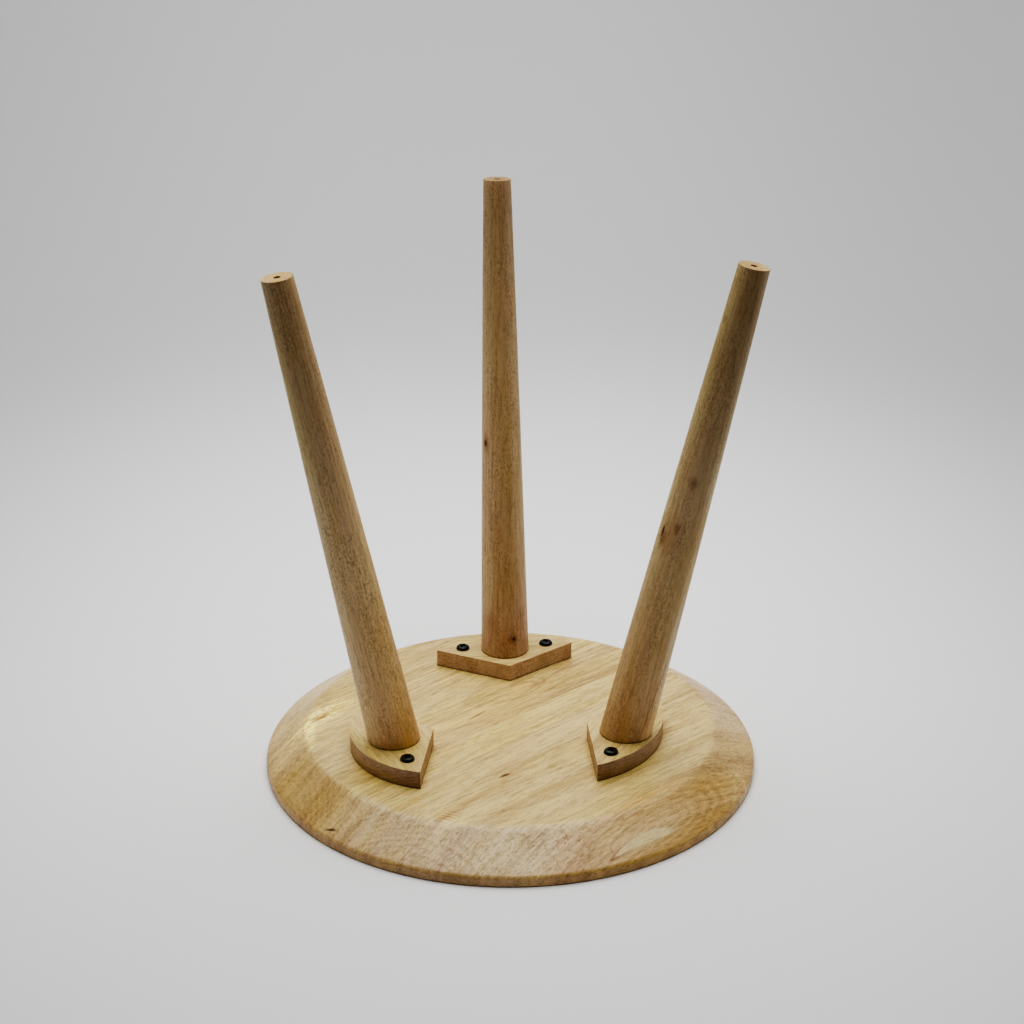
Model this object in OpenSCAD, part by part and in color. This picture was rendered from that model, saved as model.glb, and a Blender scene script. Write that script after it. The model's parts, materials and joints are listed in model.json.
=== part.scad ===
// Three-legged wooden stool, drawn the way it is stored: turned over, resting
// on its sitting face, with the feet up. Z = 0 is the sitting face, and the
// origin is the middle of it. The lists of three hold back, left and right.

/* [Seat] */
// Diameter of the round seat
seat_d = 350; // [300:1:400]
// Thickness of the seat
seat_t = 27; // [22:0.5:32]
// Width of the slope round the underside
slope_w = 30; // [20:1:35]
// Height of the upright edge below the slope
edge_h = 7; // [6:0.5:10]
// Rounding between the sitting face and the upright edge
sit_round = 1.6; // [0.5:0.1:2]
// Rounding between the upright edge and the slope
edge_round = 4; // [1:0.5:5]
// Rounding between the slope and the flat underside
slope_round = 14; // [2:1:30]
// Direction the boards run in, turned from the X axis
grain_turn = 38.5; // [0:0.5:180]
// Where the glue lines lie, measured across the boards from the middle
glue_lines = [-116, -24, 4, 95]; // [-150:1:150]

/* [Legs] */
// Length of a leg along its axis, from the block to the foot
leg_len = 351; // [300:1:400]
// Diameter of a leg where it meets its block
leg_base_d = 35.7; // [32:0.1:40]
// Diameter of a leg at the foot
leg_foot_d = 20.2; // [18:0.1:28]
// How far the side of a leg swells beyond a straight taper
leg_swell = 0.3; // [0:0.05:1]
// Lean of the legs, away from upright
leg_lean = 12.65; // [8:0.05:15]
// How far the face of each foot is from level
foot_tilt = [4, 8, 11]; // [0:0.5:15]
// Direction the face of each foot tips towards
foot_azimuth = [90, 186, 357]; // [0:1:360]
// Diameter of the turning centre's mark in each foot
centre_d = 4.6; // [2:0.1:6]

/* [Layout] */
// Distance of each leg from the middle of the seat
leg_radius = [91, 94.4, 89.6]; // [85:0.1:95]
// Direction of each leg from the middle of the seat
leg_azimuth = [89.1, 207.8, 330.1]; // [0:0.1:360]
// Direction each leg leans in
lean_azimuth = [90.6, 214.2, 333.1]; // [0:0.1:360]
// Direction the curved side of each block faces
block_azimuth = [93.9, 202.7, 328.6]; // [0:0.1:360]

/* [Blocks] */
// Thickness of a block
block_t = 12.8; // [12:0.1:18]
// Distance from the leg's middle to the block's inner corner
block_apex = 29.9; // [26:0.1:34]
// Distance from the leg's middle out to the line through the two outer corners
block_corner = 3; // [1:0.1:6]
// Half the distance between a block's two outer corners
block_half_w = 51.5; // [48:0.5:56]
// Distance from the leg's middle to the middle of each block's curved side
block_reach = [25, 28, 21]; // [20:0.5:30]

/* [Block screws] */
// Distance of the screws outward of the leg's middle
screw_out = 3.7; // [0:0.1:6]
// Distance of the screws to each side of the leg's middle
screw_side = 31.7; // [28:0.1:36]
// Diameter of the screw's head
screw_head_d = 10; // [8:0.1:12]
// Height of the screw's head
screw_head_h = 2.6; // [2:0.1:4]
// Diameter of the thread and of the hole that it cuts in the seat
screw_d = 4.5; // [3.5:0.1:5]
// Length of the screw under its head
screw_len = 30; // [24:1:36]
// Diameter of the screw's hole through the block
screw_clear_d = 4.9; // [4.7:0.1:5.4]

/* [Leg fixings] */
// Diameter of the long screw inside each leg
leg_screw_d = 5; // [4:0.1:6]
// Length of the long screw
leg_screw_len = 60; // [45:1:80]
// Diameter of the long screw's countersunk head
leg_screw_head_d = 9.6; // [8:0.1:11]
// Diameter of the long screw's hole through the block
leg_screw_clear_d = 5.4; // [5.2:0.1:6]
// Diameter of the wooden dowel
dowel_d = 6; // [5:0.5:8]
// Distance of the dowel from the leg's middle, towards the middle of the seat
dowel_in = 8.5; // [8:0.1:9]
// How far the dowel goes into the block
dowel_in_block = 8; // [5:0.5:8]
// How far the dowel goes into the leg
dowel_in_leg = 14; // [8:0.5:16]

/* [Hidden] */

$fn = 96;
BACK = 0;
LEFT = 1;
RIGHT = 2;
UNITS = [BACK, LEFT, RIGHT];
SIDES = [-1, 1];

// Steps in each rounded corner, in a leg's curved side and in a screw's dome
ROUND_STEPS = 6;
SIDE_STEPS = 12;
DOME_STEPS = 8;
// Cutters run this far past the faces that they cut
OVER = 1;
// Depth left below a screw's point or a dowel's end
END_GAP = 0.6;

seat_r = seat_d / 2;
block_top = seat_t + block_t;
board_edges = concat([-seat_r - OVER], glue_lines, [seat_r + OVER]);

leg_stub = 6;
centre_depth = centre_d / 2 / tan(30);

flange_h = 0.9;
thread_pitch = 1.8;
thread_depth = 0.7;
point_len = 5;
recess_w = 1.1;
recess_depth = 1.5;
recess_reach = 0.52;

leg_head_h = 2.7;
leg_head_sink = 1.8;
leg_screw_start = leg_head_sink - block_t / cos(leg_lean);
leg_thread_from = 24;

// Points of a rounded corner at b, between the corners a and c
function corner(a, b, c, r) =
    let (
        u = (a - b) / norm(a - b),
        v = (c - b) / norm(c - b),
        half = acos(u * v) / 2,
        middle = b + (u + v) / norm(u + v) * r / sin(half),
        from = atan2((b + u * r / tan(half) - middle)[1], (b + u * r / tan(half) - middle)[0]),
        sweep_raw = atan2((b + v * r / tan(half) - middle)[1], (b + v * r / tan(half) - middle)[0]) - from,
        sweep = sweep_raw > 180 ? sweep_raw - 360 : sweep_raw < -180 ? sweep_raw + 360 : sweep_raw
    )
    [for (i = [0:ROUND_STEPS]) middle + r * [cos(from + sweep * i / ROUND_STEPS), sin(from + sweep * i / ROUND_STEPS)]];

// Half section of the seat: sitting face, upright edge, slope and flat underside
seat_profile =
    let (
        sit = [seat_r, 0],
        edge = [seat_r, edge_h],
        slope = [seat_r - slope_w, seat_t]
    )
    concat(
        [[0, 0]],
        corner([0, 0], sit, edge, sit_round),
        corner(sit, edge, slope, edge_round),
        corner(edge, slope, [0, seat_t], slope_round),
        [[0, seat_t]]
    );

// Radius of a leg at the distance s from its block
function leg_r(s) =
    let (t = s / leg_len)
    (leg_base_d * (1 - t) + leg_foot_d * t) / 2 + 4 * leg_swell * t * (1 - t);

leg_profile = concat(
    [[0, -leg_stub], [leg_r(-leg_stub), -leg_stub]],
    [for (i = [0:SIDE_STEPS]) let (s = leg_len * i / SIDE_STEPS) [leg_r(s), s]],
    [[leg_r(leg_len + leg_stub), leg_len + leg_stub], [0, leg_len + leg_stub]]
);

// Half section of the cone that a turning centre leaves in a foot
centre_profile = [
    [0, leg_len - centre_depth],
    [centre_d, leg_len + centre_depth],
    [0, leg_len + centre_depth],
];

// Half section of a threaded shank, with sharp rings for the thread and a point.
// It runs up from 0 and is threaded from the length plain.
function shank_profile(d, length, plain) =
    let (
        rings = floor((length - point_len - plain) / thread_pitch),
        first = length - point_len - rings * thread_pitch,
        core = d / 2 - thread_depth
    )
    concat(
        [[0, 0], [d / 2, 0], [d / 2, first - thread_pitch / 2], [core, first]],
        [for (i = [0:rings - 1]) each [
            [d / 2, first + (i + 0.5) * thread_pitch],
            [core, first + (i + 1) * thread_pitch],
        ]],
        [[0, length]]
    );

// Half section of a domed head on a thin flange, from 0 up to its crown
head_profile =
    let (dome_r = screw_head_d / 2 - 0.5, dome_h = screw_head_h - flange_h)
    concat(
        [[0, 0], [screw_head_d / 2, 0], [screw_head_d / 2, flange_h * 0.6], [screw_head_d / 2 - 0.3, flange_h]],
        [for (i = [0:DOME_STEPS]) let (a = 90 * i / DOME_STEPS) [dome_r * cos(a), flange_h + dome_h * sin(a)]]
    );

// Puts the children on a unit's leg, with +X along the direction given, at the height z
module at_unit(k, azimuth, z) {
    translate([leg_radius[k] * cos(leg_azimuth[k]), leg_radius[k] * sin(leg_azimuth[k]), z])
        rotate([0, 0, azimuth])
            children();
}

// Puts the children on a leg's axis, with +Z towards the foot and 0 at the block's face
module along_leg(k) {
    at_unit(k, lean_azimuth[k], block_top)
        rotate([0, leg_lean, 0])
            children();
}

// Puts the children on the middle of a foot's face, with +Z square to the face
module at_foot(k) {
    along_leg(k)
        translate([0, 0, leg_len])
            rotate([0, -leg_lean, 0])
                rotate([0, 0, foot_azimuth[k] - lean_azimuth[k]])
                    rotate([0, foot_tilt[k], 0])
                        children();
}

module at_block_screws(k) {
    for (side = SIDES)
        at_unit(k, block_azimuth[k], block_top)
            translate([screw_out, side * screw_side, 0])
                children();
}

module at_dowel(k) {
    at_unit(k, lean_azimuth[k], block_top)
        translate([-dowel_in, 0, 0])
            children();
}

// Cross-shaped socket cut down from z = 0
module cross_recess(head_d) {
    for (turn = [0, 90])
        rotate([0, 0, turn])
            translate([-head_d * recess_reach / 2, -recess_w / 2, -recess_depth])
                cube([head_d * recess_reach, recess_w, recess_depth + OVER]);
}

module block_screw() {
    difference() {
        union() {
            rotate_extrude() polygon(head_profile);
            rotate([180, 0, 0])
                rotate_extrude() polygon(shank_profile(screw_d, screw_len, 10));
        }
        translate([0, 0, screw_head_h])
            rotate([0, 0, 20])
                cross_recess(screw_head_d);
    }
}

module leg_screw_body() {
    difference() {
        union() {
            cylinder(h = leg_head_h, d1 = leg_screw_head_d, d2 = leg_screw_d);
            rotate_extrude() polygon(shank_profile(leg_screw_d, leg_screw_len, leg_thread_from));
        }
        rotate([180, 0, 0]) cross_recess(leg_screw_head_d);
    }
}

module seat_holes() {
    for (k = UNITS)
        at_block_screws(k)
            translate([0, 0, -screw_len - END_GAP])
                cylinder(h = screw_len + END_GAP + OVER, d = screw_d);
}

module seat_board(i) {
    color("burlywood")
        difference() {
            intersection() {
                rotate_extrude() polygon(seat_profile);
                rotate([0, 0, grain_turn])
                    translate([-seat_r - OVER, board_edges[i], -OVER])
                        cube([seat_d + 2 * OVER, board_edges[i + 1] - board_edges[i], seat_t + 2 * OVER]);
            }
            seat_holes();
        }
}

// Outline of a block, with the leg's middle at 0 and the curved side towards +X
module block_outline(reach) {
    rise = reach - block_corner;
    arc_r = (block_half_w ^ 2 + rise ^ 2) / (2 * rise);
    far = 3 * block_half_w;
    spread = far * block_half_w / (block_apex + block_corner);
    intersection() {
        translate([reach - arc_r, 0]) circle(arc_r);
        polygon([[-block_apex, 0], [far - block_apex, -spread], [far - block_apex, spread]]);
    }
}

module block(k) {
    color("tan")
        difference() {
            at_unit(k, block_azimuth[k], seat_t)
                linear_extrude(block_t) block_outline(block_reach[k]);
            at_block_screws(k)
                translate([0, 0, -block_t - OVER])
                    cylinder(h = block_t + 2 * OVER, d = screw_clear_d);
            along_leg(k)
                translate([0, 0, leg_screw_start]) {
                    cylinder(h = block_t * 2, d = leg_screw_clear_d);
                    cylinder(h = leg_head_h, d1 = leg_screw_head_d, d2 = leg_screw_d);
                    translate([0, 0, -leg_stub]) cylinder(h = leg_stub, d = leg_screw_head_d);
                }
            at_dowel(k)
                translate([0, 0, -dowel_in_block - END_GAP / 2])
                    cylinder(h = dowel_in_block + END_GAP + OVER, d = dowel_d);
        }
}

module leg(k) {
    color("peru")
        difference() {
            along_leg(k) rotate_extrude() polygon(leg_profile);
            along_leg(k) rotate_extrude() polygon(centre_profile);
            at_foot(k)
                translate([-leg_foot_d, -leg_foot_d, 0])
                    cube([2 * leg_foot_d, 2 * leg_foot_d, 3 * leg_stub]);
            at_unit(k, 0, block_top - 3 * leg_stub)
                translate([-leg_base_d, -leg_base_d, 0])
                    cube([2 * leg_base_d, 2 * leg_base_d, 3 * leg_stub]);
            along_leg(k)
                translate([0, 0, leg_screw_start])
                    cylinder(h = leg_screw_len + END_GAP, d = leg_screw_d);
            at_dowel(k)
                translate([0, 0, -OVER])
                    cylinder(h = dowel_in_leg + END_GAP / 2 + OVER, d = dowel_d);
        }
}

module block_screws(k) {
    color("dimgray")
        at_block_screws(k) block_screw();
}

module leg_screw(k) {
    color("silver")
        along_leg(k)
            translate([0, 0, leg_screw_start]) leg_screw_body();
}

module dowel(k) {
    tip = 0.8;
    length = dowel_in_block + dowel_in_leg;
    color("wheat")
        at_dowel(k)
            translate([0, 0, -dowel_in_block]) {
                translate([0, 0, tip]) cylinder(h = length - 2 * tip, d = dowel_d);
                cylinder(h = tip, d1 = dowel_d - 2 * tip, d2 = dowel_d);
                translate([0, 0, length - tip]) cylinder(h = tip, d1 = dowel_d, d2 = dowel_d - 2 * tip);
            }
}

seat_board(0);  // seat_board_1
seat_board(1);  // seat_board_2
seat_board(2);  // seat_board_3
seat_board(3);  // seat_board_4
seat_board(4);  // seat_board_5
block(BACK);  // block_back
block(LEFT);  // block_left
block(RIGHT);  // block_right
leg(BACK);  // leg_back
leg(LEFT);  // leg_left
leg(RIGHT);  // leg_right
block_screws(BACK);  // block_screws_back
block_screws(LEFT);  // block_screws_left
block_screws(RIGHT);  // block_screws_right
leg_screw(BACK);  // leg_screw_back
leg_screw(LEFT);  // leg_screw_left
leg_screw(RIGHT);  // leg_screw_right
dowel(BACK);  // dowel_back
dowel(LEFT);  // dowel_left
dowel(RIGHT);  // dowel_right
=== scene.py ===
import json
import math

import bmesh
import bpy
from mathutils import Euler, Matrix, Vector

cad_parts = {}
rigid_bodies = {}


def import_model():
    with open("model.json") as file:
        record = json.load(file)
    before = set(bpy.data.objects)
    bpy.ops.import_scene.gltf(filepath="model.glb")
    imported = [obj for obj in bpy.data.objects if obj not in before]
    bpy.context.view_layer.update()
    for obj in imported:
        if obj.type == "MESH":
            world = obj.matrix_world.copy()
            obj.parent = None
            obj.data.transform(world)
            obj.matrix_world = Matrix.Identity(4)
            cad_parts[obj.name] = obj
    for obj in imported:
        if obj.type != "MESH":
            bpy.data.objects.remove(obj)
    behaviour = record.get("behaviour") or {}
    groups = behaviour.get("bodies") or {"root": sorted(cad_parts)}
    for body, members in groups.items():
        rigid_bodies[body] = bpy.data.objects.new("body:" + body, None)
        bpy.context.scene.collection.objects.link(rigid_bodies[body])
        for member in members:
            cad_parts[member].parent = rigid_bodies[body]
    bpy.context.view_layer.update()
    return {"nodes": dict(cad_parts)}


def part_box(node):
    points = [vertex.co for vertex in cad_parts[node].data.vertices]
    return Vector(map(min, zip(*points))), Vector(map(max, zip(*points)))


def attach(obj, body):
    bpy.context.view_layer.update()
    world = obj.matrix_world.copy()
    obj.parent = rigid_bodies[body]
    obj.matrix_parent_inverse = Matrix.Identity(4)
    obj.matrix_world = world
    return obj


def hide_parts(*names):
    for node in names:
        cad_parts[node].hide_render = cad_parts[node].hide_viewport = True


# A three-legged wooden stool, turned over on its sitting face. Metres, unless a comment says mm.
MM = 0.001
SIDES = ("back", "left", "right")
FRONT = Vector((0.0, -1.0, 0.0))
UP = Vector((0.0, 0.0, 1.0))

# The camera: where it stands, how many degrees it looks down and is turned towards +X, and its
# lens and sensor in mm
CAMERA_AT = (-0.0770, -1.2588, 0.70875)
CAMERA_DOWN = 22.4
CAMERA_TURN = 3.55
CAMERA_LENS = 69.77
SENSOR_WIDTH = 36.0

# The stage: a pale floor that runs up into a round wall, a soft light above, and a dark screen
# that keeps the room behind the camera dark in reflections and in bounced light
FLOOR_R = 0.9
FLOOR_STEPS = 96
WALL_BEND = 0.9
WALL_STEPS = 12
WALL_TOP = 2.4
LIGHT_H = 2.0
LIGHT_BACK = 0.42
LIGHT_R = 1.3
LIGHT_POWER = 40.0
WORLD_GREY = 0.066
SCREEN_R = 0.6
SCREEN_H = 0.75
SCREEN_HALF_ANGLE = 58.0
SCREEN_STEPS = 24
SCREEN_GREY = 0.01

# The floor is painted less bright away from its middle, and again to the sides, as a painted pool of
# light with painted shade round it: from where, to where, and how much of its brightness is left
FADE_MIDDLE_Y = 0.1
FADE_SIDEWAYS = 1.2
FADE_FROM = 0.12
FADE_TO = 1.1
FADE_LEFT = 0.62
ASIDE_FROM = 0.10
ASIDE_TO = 0.80
ASIDE_LEFT = 0.84
FLOOR_GREY = 0.87
FLOOR_ROUGH = 0.9

# The seat: which way its boards run, in degrees from +X, and its radius in mm
GRAIN_TURN = 38.5
EDGE_AT = 175.0


def clear_scene():
    for thing in list(bpy.data.objects):
        bpy.data.objects.remove(thing)


class Nodes:
    """Builds one material. All methods but put, feed and finish return the socket of their result."""

    def __init__(self, name):
        self.material = bpy.data.materials.new(name)
        self.material.use_nodes = True
        self.tree = self.material.node_tree
        self.tree.nodes.clear()

    def put(self, kind, inputs, **settings):
        node = self.tree.nodes.new("ShaderNode" + kind)
        for key, value in settings.items():
            setattr(node, key, value)
        for key, value in inputs.items():
            self.feed(node.inputs[key], value)
        return node

    def feed(self, socket, value):
        if isinstance(value, bpy.types.NodeSocket):
            self.tree.links.new(value, socket)
        elif value is not None:
            socket.default_value = value

    def math(self, operation, a, b=None):
        return self.put("Math", {0: a, 1: b}, operation=operation).outputs[0]

    def add(self, a, b):
        return self.math("ADD", a, b)

    def sub(self, a, b):
        return self.math("SUBTRACT", a, b)

    def mul(self, a, b):
        return self.math("MULTIPLY", a, b)

    def hypot(self, a, b):
        return self.math("SQRT", self.add(self.mul(a, a), self.mul(b, b)))

    def scaled(self, where, factors):
        return self.put("VectorMath", {0: where, 1: factors}, operation="MULTIPLY").outputs[0]

    def split(self, where):
        return self.put("SeparateXYZ", {0: where}).outputs

    def join(self, x, y, z):
        return self.put("CombineXYZ", {0: x, 1: y, 2: z}).outputs[0]

    def noise(self, where, lengths, detail=2.0, rough=0.5):
        """Noise from 0 to 1 whose features are about as long as lengths, in mm, along u, v and w."""
        factors = tuple(1.0 / length for length in lengths)
        found = self.put(
            "TexNoise",
            {"Vector": self.scaled(where, factors), "Scale": 1.0, "Detail": detail, "Roughness": rough},
            noise_dimensions="3D",
        )
        return found.outputs["Fac"]

    def swing(self, where, lengths, reach):
        """Noise about 0 that swings to roughly reach on each side."""
        return self.mul(self.sub(self.noise(where, lengths), 0.5), 4.0 * reach)

    def between(self, value, low, high):
        """A smooth step from 0 at low to 1 at high. Low may be the larger."""
        step = self.put(
            "MapRange",
            {"Value": value, "From Min": low, "From Max": high, "To Min": 0.0, "To Max": 1.0},
            interpolation_type="SMOOTHSTEP",
        )
        return step.outputs["Result"]

    def mix(self, share, a, b, blend="MIX"):
        # Sockets 6 and 7 are the two colours, and output 2 is the mixed one
        return self.put("Mix", {0: share, 6: a, 7: b}, data_type="RGBA", blend_type=blend).outputs[2]

    def stain(self, colour, where, tint, share=1.0):
        """The colour multiplied by a tint, as far as share, in the place that where gives."""
        return self.mix(self.mul(where, share), colour, (*tint, 1.0), "MULTIPLY")

    def bump(self, height, depth):
        """Fine relief, depth metres high."""
        return self.put("Bump", {"Height": height, "Distance": depth, "Strength": 1.0}).outputs[0]

    def finish(self, inputs, **uniform):
        """Ends the material in one shader. The uniform values are set on its own sockets."""
        shader = self.put("BsdfPrincipled", inputs)
        for key, value in uniform.items():
            shader.inputs[key.replace("_", " ")].default_value = value
        out = self.tree.nodes.new("ShaderNodeOutputMaterial")
        self.tree.links.new(shader.outputs[0], out.inputs[0])
        return self.material


# ---------------------------------------------------------------- wood
# Wood colours: a light and a dark one for the seat and the blocks, and for the legs
LIGHT_TAN = (0.790, 0.640, 0.275)
DARK_TAN = (0.500, 0.345, 0.125)
LEG_LIGHT = (0.780, 0.590, 0.315)
LEG_DARK = (0.490, 0.310, 0.140)
HEART = (0.800, 0.660, 0.260)

# Tints, which multiply a colour
END_TINT = (0.78, 0.65, 0.60)
# Upright faces, browner as sawn wood and as painted shade
SAWN_AND_SHADE_TINT = (0.84, 0.68, 0.92)
RED_BROWN = (0.52, 0.30, 0.20)
PALE = (1.16, 1.14, 1.10)
# A painted contact shadow where one piece stands on another
CONTACT_SHADOW = (0.46, 0.40, 0.36)
YELLOWER = (1.02, 1.01, 0.84)
PINKER = (0.99, 0.95, 1.04)
PORE_TINT = (0.50, 0.40, 0.32)

# The figure of the wood, in five noises: the length of its features in mm along u, v and w, its
# detail, its roughness, and how much it darkens the wood
FIGURE = {
    "band": ((230, 8, 45), 3.0, 0.5, 1.5),
    "streak": ((75, 2.6, 9), 3.0, 0.6, 1.45),
    "fibre": ((15, 1.1, 1.6), 2.0, 0.6, 1.05),
    "cloud": ((80, 34, 34), 2.0, 0.5, 0.5),
    "grit": ((1.6, 1.1, 1.1), 2.0, 0.7, 0.8),
}
BASE_SHADE = 0.16
HUE_LENGTHS = (150, 15, 40)
HUE_MIDDLE = 0.48
HUE_YELLOW = 0.62
HUE_PINK = 0.36
HUE_SHARE = 0.6
PORE_LENGTHS = (9.0, 1.3, 1.5)
PORE_FROM = 0.565
PORE_TO = 0.625

# A growth ring, as shares of its width: where its dark late wood begins, is darkest and fades. Late
# wood makes a share of the rings' shade, and the rest changes from year to year.
LATE_FROM = 0.30
LATE_FULL = 0.92
LATE_FADES = 0.94
LATE_SHARE = 0.65

# How the rings waver: the length of their waves in mm along u, v and w, and their reach in mm
RING_DRIFT = ((110, 26, 26), 0.9)
RING_WAVER = ((24, 6, 6), 0.14)

# The full middle of a thin line or a painted contact shadow, as a share of it
LINE_CORE = 0.2

# The finish: its roughness, what gloss takes from that and what streaks and pores add, then the
# depth of the relief in metres, and the parts of fibres, grit and pores in it
WOOD_ROUGH = 0.58
GLOSS_SMOOTHS = 0.3
STREAK_ROUGH = 0.22
PORE_ROUGH = 0.12
WOOD_RELIEF = 0.00007
FIBRE_RELIEF = 0.6
GRIT_RELIEF = 0.35
PORE_RELIEF = -0.6


def log_frame(origin, grain, up):
    """The place of a piece's timber: +X runs along the grain and +Z stays as near to up as it can."""
    x = grain.normalized()
    y = up.cross(x).normalized()
    z = x.cross(y)
    return origin, Matrix((x, y, z)).transposed().to_euler()


def grain_axis(turn):
    axis = Vector((1.0, 0.0, 0.0))
    axis.rotate(turn)
    return tuple(axis)


class Timber(Nodes):
    """Solid timber, measured in mm along its grain (u) and across it (v and w)."""

    def __init__(self, name, place, seed):
        super().__init__(name)
        coords = self.put("TexCoord", {})
        origin, turn = place
        local = self.put("Mapping", {0: coords.outputs["Object"]}, vector_type="TEXTURE")
        local.inputs["Location"].default_value = origin
        local.inputs["Rotation"].default_value = turn
        local.inputs["Scale"].default_value = (MM, MM, MM)
        self.at = local.outputs[0]
        self.u, self.v, self.w = self.split(self.at)
        self.grown = self.put("VectorMath", {0: self.at, 1: (0.0, seed, seed)}, operation="ADD").outputs[0]
        x, y, self.height = self.split(coords.outputs["Object"])
        self.from_middle = self.mul(self.hypot(x, y), 1.0 / MM)
        normal = coords.outputs["Normal"]
        facing = self.put("VectorMath", {0: normal, 1: grain_axis(turn)}, operation="DOT_PRODUCT")
        self.endness = self.math("ABSOLUTE", facing.outputs["Value"])
        self.upness = self.math("ABSOLUTE", self.split(normal)[2])

    def rings(self, pith, pitch):
        """Pale and dark growth rings round a pith line, from 0 to 1."""
        pith_v, pith_w, shift_v, shift_w = pith
        dv = self.sub(self.v, self.add(self.mul(self.u, shift_v), pith_v))
        dw = self.sub(self.w, self.add(self.mul(self.u, shift_w), pith_w))
        radius = self.hypot(dv, dw)
        radius = self.add(radius, self.swing(self.grown, *RING_DRIFT))
        radius = self.add(radius, self.swing(self.grown, *RING_WAVER))
        turns = self.mul(radius, 1.0 / pitch)
        age = self.math("FRACT", turns)
        late = self.mul(self.between(age, LATE_FROM, LATE_FULL), self.between(age, 1.0, LATE_FADES))
        year = self.put("TexWhiteNoise", {"W": self.math("FLOOR", turns)}, noise_dimensions="1D")
        return self.add(self.mul(late, LATE_SHARE), self.mul(year.outputs["Value"], 1.0 - LATE_SHARE))

    def lines(self, field, levels, width):
        """Thin soft lines where a field passes each of the levels."""
        found = None
        for level in levels:
            away = self.math("ABSOLUTE", self.sub(field, level))
            line = self.between(away, width, LINE_CORE * width)
            found = line if found is None else self.math("MAXIMUM", found, line)
        return found

    def ellipse(self, centre, half, turn=0.0, soft=0.5, u=None, v=None):
        """1 inside a soft-edged ellipse across the faces, 0 outside it. Sizes in mm, turn in degrees.

        u and v take the place of the timber's own when they are given, so that the ellipse wavers.
        """
        du = self.sub(self.u if u is None else u, centre[0])
        dv = self.sub(self.v if v is None else v, centre[1])
        c = math.cos(math.radians(turn))
        s = math.sin(math.radians(turn))
        along = self.mul(self.add(self.mul(du, c), self.mul(dv, s)), 1.0 / half[0])
        across = self.mul(self.sub(self.mul(dv, c), self.mul(du, s)), 1.0 / half[1])
        return self.between(self.hypot(along, across), 1.0 + soft, 1.0 - soft)

    def patch(self, colour, tint, share=1.0, mask=1.0, **shape):
        """The colour tinted inside an ellipse across the faces, as far as a mask lets it."""
        return self.stain(colour, self.mul(self.ellipse(**shape), mask), tint, share)

    def spot(self, colour, tint, share, centre, length, width, soft=0.5):
        """The colour tinted inside a soft-edged ellipsoid that lies along the grain. Sizes in mm."""
        away = self.put("VectorMath", {0: self.at, 1: centre}, operation="SUBTRACT").outputs[0]
        away = self.scaled(away, (1.0 / length, 1.0 / width, 1.0 / width))
        size = self.put("VectorMath", {0: away}, operation="LENGTH").outputs["Value"]
        return self.stain(colour, self.between(size, 1.0 + soft, 1.0 - soft), tint, share)

    def seam(self, colour, height, thick, share):
        """A painted contact shadow: a dark line, thick metres high, where a piece meets the one under it at
        some height.
        """
        near = self.between(self.height, height + thick, height + LINE_CORE * thick)
        return self.stain(colour, near, CONTACT_SHADOW, share)


def wood_colour(g, figure, pores, light, dark, rings, contrast):
    """A board's plain colour: its rings, its figure, its changes of hue and its pores."""
    shade = rings
    for part, (_, _, _, weight) in FIGURE.items():
        shade = g.add(shade, g.mul(g.sub(figure[part], 0.5), weight * contrast))
    shade = g.put("Clamp", {0: g.add(shade, BASE_SHADE)}).outputs[0]
    colour = g.mix(shade, (*light, 1.0), (*dark, 1.0))
    hue = g.noise(g.grown, HUE_LENGTHS)
    colour = g.stain(colour, g.between(hue, HUE_MIDDLE, HUE_YELLOW), YELLOWER, HUE_SHARE)
    colour = g.stain(colour, g.between(hue, HUE_MIDDLE, HUE_PINK), PINKER, HUE_SHARE)
    return g.stain(colour, pores, PORE_TINT)


def wood_surface(g, figure, pore, colour, gloss):
    """The shader's inputs: rougher in streaks and pores, and smoother where the wood is glossy."""
    rough = g.add(g.mul(g.sub(figure["streak"], 0.5), STREAK_ROUGH), g.mul(pore, PORE_ROUGH))
    rough = g.add(rough, WOOD_ROUGH - GLOSS_SMOOTHS * gloss)
    height = g.add(g.mul(figure["fibre"], FIBRE_RELIEF), g.mul(figure["grit"], GRIT_RELIEF))
    relief = g.bump(g.add(height, g.mul(pore, PORE_RELIEF)), WOOD_RELIEF)
    return {"Base Color": colour, "Roughness": rough, "Normal": relief}


def wood(
    name, place, pith, pitch, tones, marks=None, seed=0.0, contrast=1.0, rings=0.36, speckle=0.34, gloss=0.62
):
    """The material of one wooden piece.

    pith is where the middle of the tree lies across the piece, in mm, and how it drifts along it.
    tones are its light and its dark colour, how brown its end grain is, and how brown its upright faces are,
    as sawn wood and as painted shade.
    marks, if given, takes the colour on through the knots and smears of that piece.
    """
    g = Timber(name, place, seed)
    light, dark, end, sawn_and_shade = tones
    figure = {}
    for part, (lengths, detail, rough, _) in FIGURE.items():
        figure[part] = g.noise(g.grown, lengths, detail, rough)
    pore = g.between(g.noise(g.grown, PORE_LENGTHS, 1.0), PORE_FROM, PORE_TO)
    ringed = g.mul(g.rings(pith, pitch), rings)
    colour = wood_colour(g, figure, g.mul(pore, speckle), light, dark, ringed, contrast)
    if marks:
        colour = marks(g, colour)

    # End grain drinks the finish and goes browner; upright faces go browner as sawn wood and painted shade
    colour = g.stain(colour, g.between(g.endness, 0.15, 0.85), END_TINT, end)
    colour = g.stain(colour, g.between(g.upness, 0.45, 0.15), SAWN_AND_SHADE_TINT, sawn_and_shade)

    return g.finish(wood_surface(g, figure, pore, colour, gloss), Specular_IOR_Level=gloss)


def dress(piece, material):
    piece.data.materials.clear()
    piece.data.materials.append(material)


# ---------------------------------------------------------------- seat
# All the places of marks on the seat are in mm from its middle: u along the boards, v across them

# The pale heart on the front slope: its middle, half its length, how its line leans and bows, and
# one over half its thickness, which is more at the right end
HEART_AT = (-29.0, -161.6)
HEART_HALF = 24.0
HEART_LEAN = -0.10
HEART_BOW = 0.0025
HEART_SLIM = 0.34
HEART_PLUMPER = -0.0045

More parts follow.
